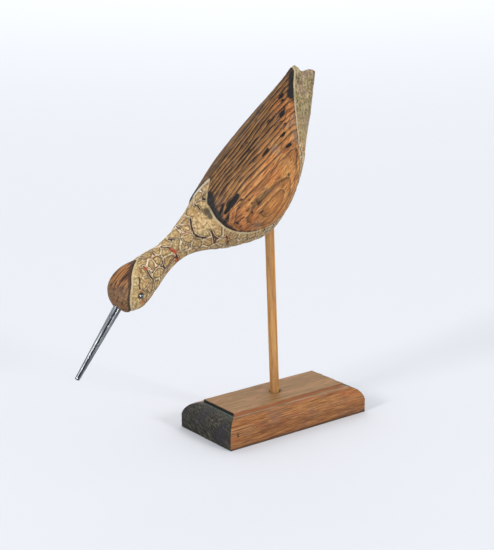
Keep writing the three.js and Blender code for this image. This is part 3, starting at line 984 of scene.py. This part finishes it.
def build_rod():
    start = rod_foot - rod_way * (BASE_SIZE[2] - ROD_HOLE_FLOOR - FIT_GAP)
    end = belly + rod_way * (ROD_SOCKET_DEPTH - FIT_GAP)
    length = np.linalg.norm(end - start)
    sides, rows = ROD_GRID
    rounded, deep = ROD_ROUNDING
    rings = []
    for at in np.linspace(0, length, rows):
        centre = start + rod_way * at
        spots = ring_round(centre, rod_way, ROD_DIAMETER / 2, sides)
        dents = 0.05 * noise_at(spots, 3, 31, (rod_way, 8))
        dents += 0.06 * noise_at(spots, 14, 32)
        oval = 0.05 * np.cos(2 * angles(sides) + at * 0.01)
        shrink = deep * max(0, 1 - min(at, length - at) / rounded) ** 2
        radius = ROD_DIAMETER / 2 - ROD_INSET + dents + oval - shrink
        rings.append(ring_round(centre, rod_way, radius, sides))
    finish_piece(add_lathe("rod_dowel", rings), rod_material(), "rod_wood", "rod")


def rod_material():
    shade = Shade("rod_wood")
    along = shade.turned((0, -lean, 0), (1, 1, 0.05))
    fibre = shade.noise(0.7, along, detail=4, roughness=0.6)
    band = shade.noise(2.6, along, detail=2)
    blotch = shade.noise(8)
    height = shade.level()
    colour = shade.layers(
        shade.ramp(band, (0.3, (0.36, 0.15, 0.034)), (0.5, (0.53, 0.255, 0.066)),
                   (0.7, (0.61, 0.33, 0.098))),
        (fibre, 0.48, 0.72, 0.55, (0.22, 0.09, 0.026)),
        (blotch, 0.52, 0.72, 0.5, (0.4, 0.17, 0.046)),
        (height, 0.185, 0.205, 0.25, (0.34, 0.12, 0.03)),
        (height, 0.08, 0.031, 0.4, (0.24, 0.105, 0.036)),
    )
    shade.bump(fibre, 0.12)
    return shade.set(Base_Color=colour, Roughness=0.45, Specular_IOR_Level=0.25)


# Base

# A short dark split in the front of the base, and a chip in the hole of the rod: the two ends of
# each and half its width
DENTS = [((-77, -41, 20), (-77, -41, 12.5), 1), ((6.3, -1, 30), (6.3, -1.5, 30), 1.4)]
# The slant of the saw marks on the ends, in radians
END_GRAIN_SLANT = 0.5
LONG_WAY = np.array([1, 0, 0])
# Depths in millimetres of the grain, the broad waves, the saw marks and the split
BASE_RELIEF = {"grain": 0.1, "waves": 0.1, "sawn": 0.2, "split": 0.6}
# How far the surface lies inside the solid on the whole
BASE_INSET = 0.35


def build_base():
    made = fine_copy("base", "base_block", BASE_FACE)
    skin = Skin(made.data)
    normals = skin.normals()
    points = skin.points
    x, y, z = points.T
    from_end = BASE_SIZE[0] / 2 - np.abs(x)
    from_side = BASE_SIZE[1] / 2 - np.abs(y)
    end = from_side - from_end
    drop = np.minimum(from_end, from_side)
    panel_foot = BASE_SIZE[2] - PANEL_STEP
    top = (normals[:, 2] > 0.9) & (z > panel_foot + 1.5)
    at_step = smoothstep(EDGE_RADIUS - 1.4, EDGE_RADIUS - 0.2, drop)
    step = at_step * smoothstep(BASE_SIZE[2] - 1, BASE_SIZE[2] - 1.9, z) * (z > panel_foot - 0.8)
    height = BASE_RELIEF["grain"] * noise_at(points, 1.8, 41, (LONG_WAY, 24))
    height += BASE_RELIEF["waves"] * noise_at(points, 7, 42)
    sawn = noise_at(points, 1.5, 43, (np.array([0, 1, 0]), 2.5))
    sawn += 0.6 * noise_at(points, 1.2, 44)
    height = np.where(end > 0, BASE_RELIEF["sawn"] * sawn, height)
    split = np.zeros(len(points))
    for *ends, radius in DENTS:
        away = path_distance(points, ends) + 0.3 * noise_at(points, 2, 45)
        split = np.maximum(split, 1 - smoothstep(radius * 0.5, radius * 1.3, away))
    height = (height - BASE_INSET - BASE_RELIEF["split"] * split) * smoothstep(0.3, 1.2, z)
    skin.relax(2, np.full(len(points), 0.5))
    skin.lift(np.minimum(height, 0), normals)
    low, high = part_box("base")
    skin.points = np.clip(skin.points, np.array(low) / MM, np.array(high) / MM)
    skin.write()
    foot = np.linalg.norm(points - rod_foot, axis=1)
    skin.store(end=end, top=top, step=step, drop=drop, split=split, foot=foot)
    finish_piece(made, base_material(), "base_wood", "base")


def base_material():
    shade = Shade("base_wood")
    fibre = shade.noise(0.85, shade.along(LONG_WAY, 0.045), detail=5, roughness=0.68)
    band = shade.noise(4, shade.along(LONG_WAY, 0.035), detail=5, roughness=0.58)
    blotch = shade.noise(9, shade.along(LONG_WAY, 0.4))
    patch = shade.noise(21)
    below_top = shade.rest("top")
    side = shade.layers(
        shade.ramp(band, (0.28, (0.14, 0.046, 0.017)), (0.38, (0.34, 0.135, 0.038)),
                   (0.43, (0.17, 0.056, 0.021)), (0.49, (0.42, 0.18, 0.052)),
                   (0.53, (0.25, 0.09, 0.032)), (0.58, (0.5, 0.23, 0.072)),
                   (0.63, (0.2, 0.07, 0.027)), (0.74, (0.36, 0.15, 0.05))),
        (fibre, 0.47, 0.64, 0.8, (0.1, 0.034, 0.013)),
        (fibre, 0.45, 0.34, 0.7, (0.56, 0.285, 0.095)),
        (patch, 0.54, 0.68, 0.5, (0.18, 0.095, 0.06)),
        (blotch, 0.56, 0.7, 0.55, (0.4, 0.095, 0.035)),
        (blotch, 0.4, 0.28, 0.45, (0.2, 0.15, 0.075)),
        (0.14, (0.1, 0.025, 0.006)),
    )
    stain = shade.span(shade.jitter("foot", blotch, 8), 10, 5, 0, 0.55)
    top = shade.layers(
        shade.ramp(band, (0.3, (0.15, 0.075, 0.024)), (0.42, (0.265, 0.14, 0.046)),
                   (0.48, (0.18, 0.09, 0.03)), (0.55, (0.33, 0.172, 0.06)),
                   (0.61, (0.215, 0.11, 0.037)), (0.72, (0.29, 0.14, 0.052))),
        (fibre, 0.46, 0.68, 0.6, (0.15, 0.075, 0.036)),
        (blotch, 0.56, 0.72, 0.45, (0.38, 0.165, 0.09)),
        (stain, (0.11, 0.082, 0.034)),
    )
    slanted = shade.turned((END_GRAIN_SLANT, 0, 0), (1, 0.14, 1))
    sawn = shade.noise(1.1, slanted, detail=4, roughness=0.66)
    # Painted shadow on the riser of the panel's step, at the ends
    step_wall_shade = shade.times(shade.span(shade.level(), 0.0266, 0.0272), shade.span("drop", 14.6, 15))
    dark = shade.layers(
        shade.ramp(sawn, (0.34, (0.004, 0.004, 0.003)), (0.46, (0.013, 0.012, 0.008)),
                   (0.56, (0.04, 0.035, 0.023)), (0.7, (0.125, 0.108, 0.074))),
        (patch, 0.45, 0.65, 0.6, (0.02, 0.016, 0.026)),
        # Painted highlight on the ledge by the panel's step, at the ends
        ("drop", 13.8, 15, 0.75, (0.12, 0.145, 0.115)),
        (step_wall_shade, (0.002, 0.002, 0.002)),
    )
    ledge = shade.times(shade.span("drop", 11.6, 13.2), shade.span("drop", 16.2, 15.4), below_top,
                        shade.span(band, 0.3, 0.6, 0.4, 0.85))
    ledge_tone = shade.ramp(blotch, (0.35, (0.15, 0.155, 0.085)), (0.55, (0.3, 0.255, 0.165)))
    step = shade.times("step", shade.span(band, 0.34, 0.56, 0.4, 0.95))
    end = shade.jitter("end", fibre, 1.2)
    colour = shade.layers(
        shade.mix(below_top, top, side),
        (ledge, ledge_tone),
        (step, (0.27, 0.08, 0.026)),
        (shade.level(), 0.0035, 0.0008, 0.8, (0.03, 0.014, 0.008)),
        ("split", (0.008, 0.005, 0.005)),
        (shade.times(shade.span(end, -0.5, 0.5), below_top), dark),
    )
    shade.bump(fibre, 0.1)
    roughness = shade.span(fibre, 0.2, 0.8, 0.45, 0.62)
    return shade.set(Base_Color=colour, Roughness=roughness, Specular_IOR_Level=0.16)


# Stage, light and camera

TARGET = Vector((-0.05, 0, 0.15))
WORLD_COLOUR = (0.95, 0.985, 1)
FLOOR_COLOUR = (0.63, 0.635, 0.67)
# Strengths of the white surroundings behind the decoy and of the darker room behind the camera
BRIGHT_SIDE = 1.08
DARK_SIDE = 0.31
# The one turns into the other between these cosines of the angle to the camera's side
SIDE_TURN = (0.45, 0.85)
# Azimuth and elevation in degrees, metres from the target, size in metres, watts
SOFTBOXES = {
    "left_softbox": (186, 27, 6, 1.2, 162),
    "right_softbox": (288, 27, 6, 1.2, 135),
}
# Panels that only glossy surfaces mirror, for the glint in the eye and the sheen along the bill
REFLECTORS = {
    "glint_panel": (223, 5, 6, 1.3, 720),
    "sheen_panel": (278, 7, 6, 1.6, 150),
    "edge_panel": (168, 44, 6, 4, 110),
}
# A wide soft panel over the floor behind the decoy: its height, metres behind, width, watts
BACK_PANEL = (3, 7, 8, 201)


def build_floor():
    form = bmesh.new()
    bmesh.ops.create_grid(form, x_segments=24, y_segments=24, size=14)
    mesh = bpy.data.meshes.new("floor")
    form.to_mesh(mesh)
    form.free()
    floor = add_object("floor", mesh)
    shade = Shade("floor")
    floor.data.materials.append(shade.set(Base_Color=FLOOR_COLOUR, Roughness=0.9,
                                          Specular_IOR_Level=0))


def add_softbox(name, azimuth, elevation, away, size, power):
    light = bpy.data.lights.new(name, "AREA")
    light.shape = "SQUARE"
    light.size = size
    light.energy = power
    lamp = add_object(name, light)
    way = way_to(azimuth, elevation)
    lamp.location = TARGET + way * away
    lamp.rotation_euler = way.to_track_quat("Z", "Y").to_euler()
    return lamp


def build_studio():
    world = Shade("studio", bpy.data.worlds, "Background")
    toward = world.node("VectorMath", {"operation": "DOT_PRODUCT"})
    world.put(toward.inputs[0], world.node("TexCoord").outputs["Generated"])
    world.put(toward.inputs[1], CAMERA_BACK)
    strength = world.span(toward.outputs["Value"], *SIDE_TURN, BRIGHT_SIDE, DARK_SIDE)
    bpy.context.scene.world = world.set(Color=WORLD_COLOUR, Strength=strength)
    for name, entries in {**SOFTBOXES, **REFLECTORS}.items():
        add_softbox(name, *entries).visible_diffuse = name in SOFTBOXES
    height, behind, size, power = BACK_PANEL
    elevation = math.degrees(math.atan2(height, behind))
    away = math.hypot(height, behind)
    panel = add_softbox("back_panel", CAMERA_AZIMUTH + 90, elevation, away, size, power)
    panel.rotation_euler = (0, 0, 0)
    panel.visible_camera = False


def build_camera():
    data = bpy.data.cameras.new("camera")
    data.lens = LENS
    data.sensor_width = SENSOR
    data.clip_end = 100
    camera = add_object("camera", data)
    camera.location = Vector(CAMERA_PLACE) * MM
    camera.rotation_euler = CAMERA_BACK.to_track_quat("Z", "Y").to_euler()
    bpy.context.scene.camera = camera


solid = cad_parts["bird"].data
carving = BVHTree.FromPolygons([vertex.co for vertex in solid.vertices],
                               [face.vertices for face in solid.polygons])
build_camera()
build_floor()
build_studio()
bpy.context.scene.view_settings.view_transform = "Standard"
build_base()
build_rod()
build_bird()
build_bill()
eye_glass = eye_material()
build_eye("left_eye", "left_bead", eye_glass)
build_eye("right_eye", "right_bead", eye_glass)
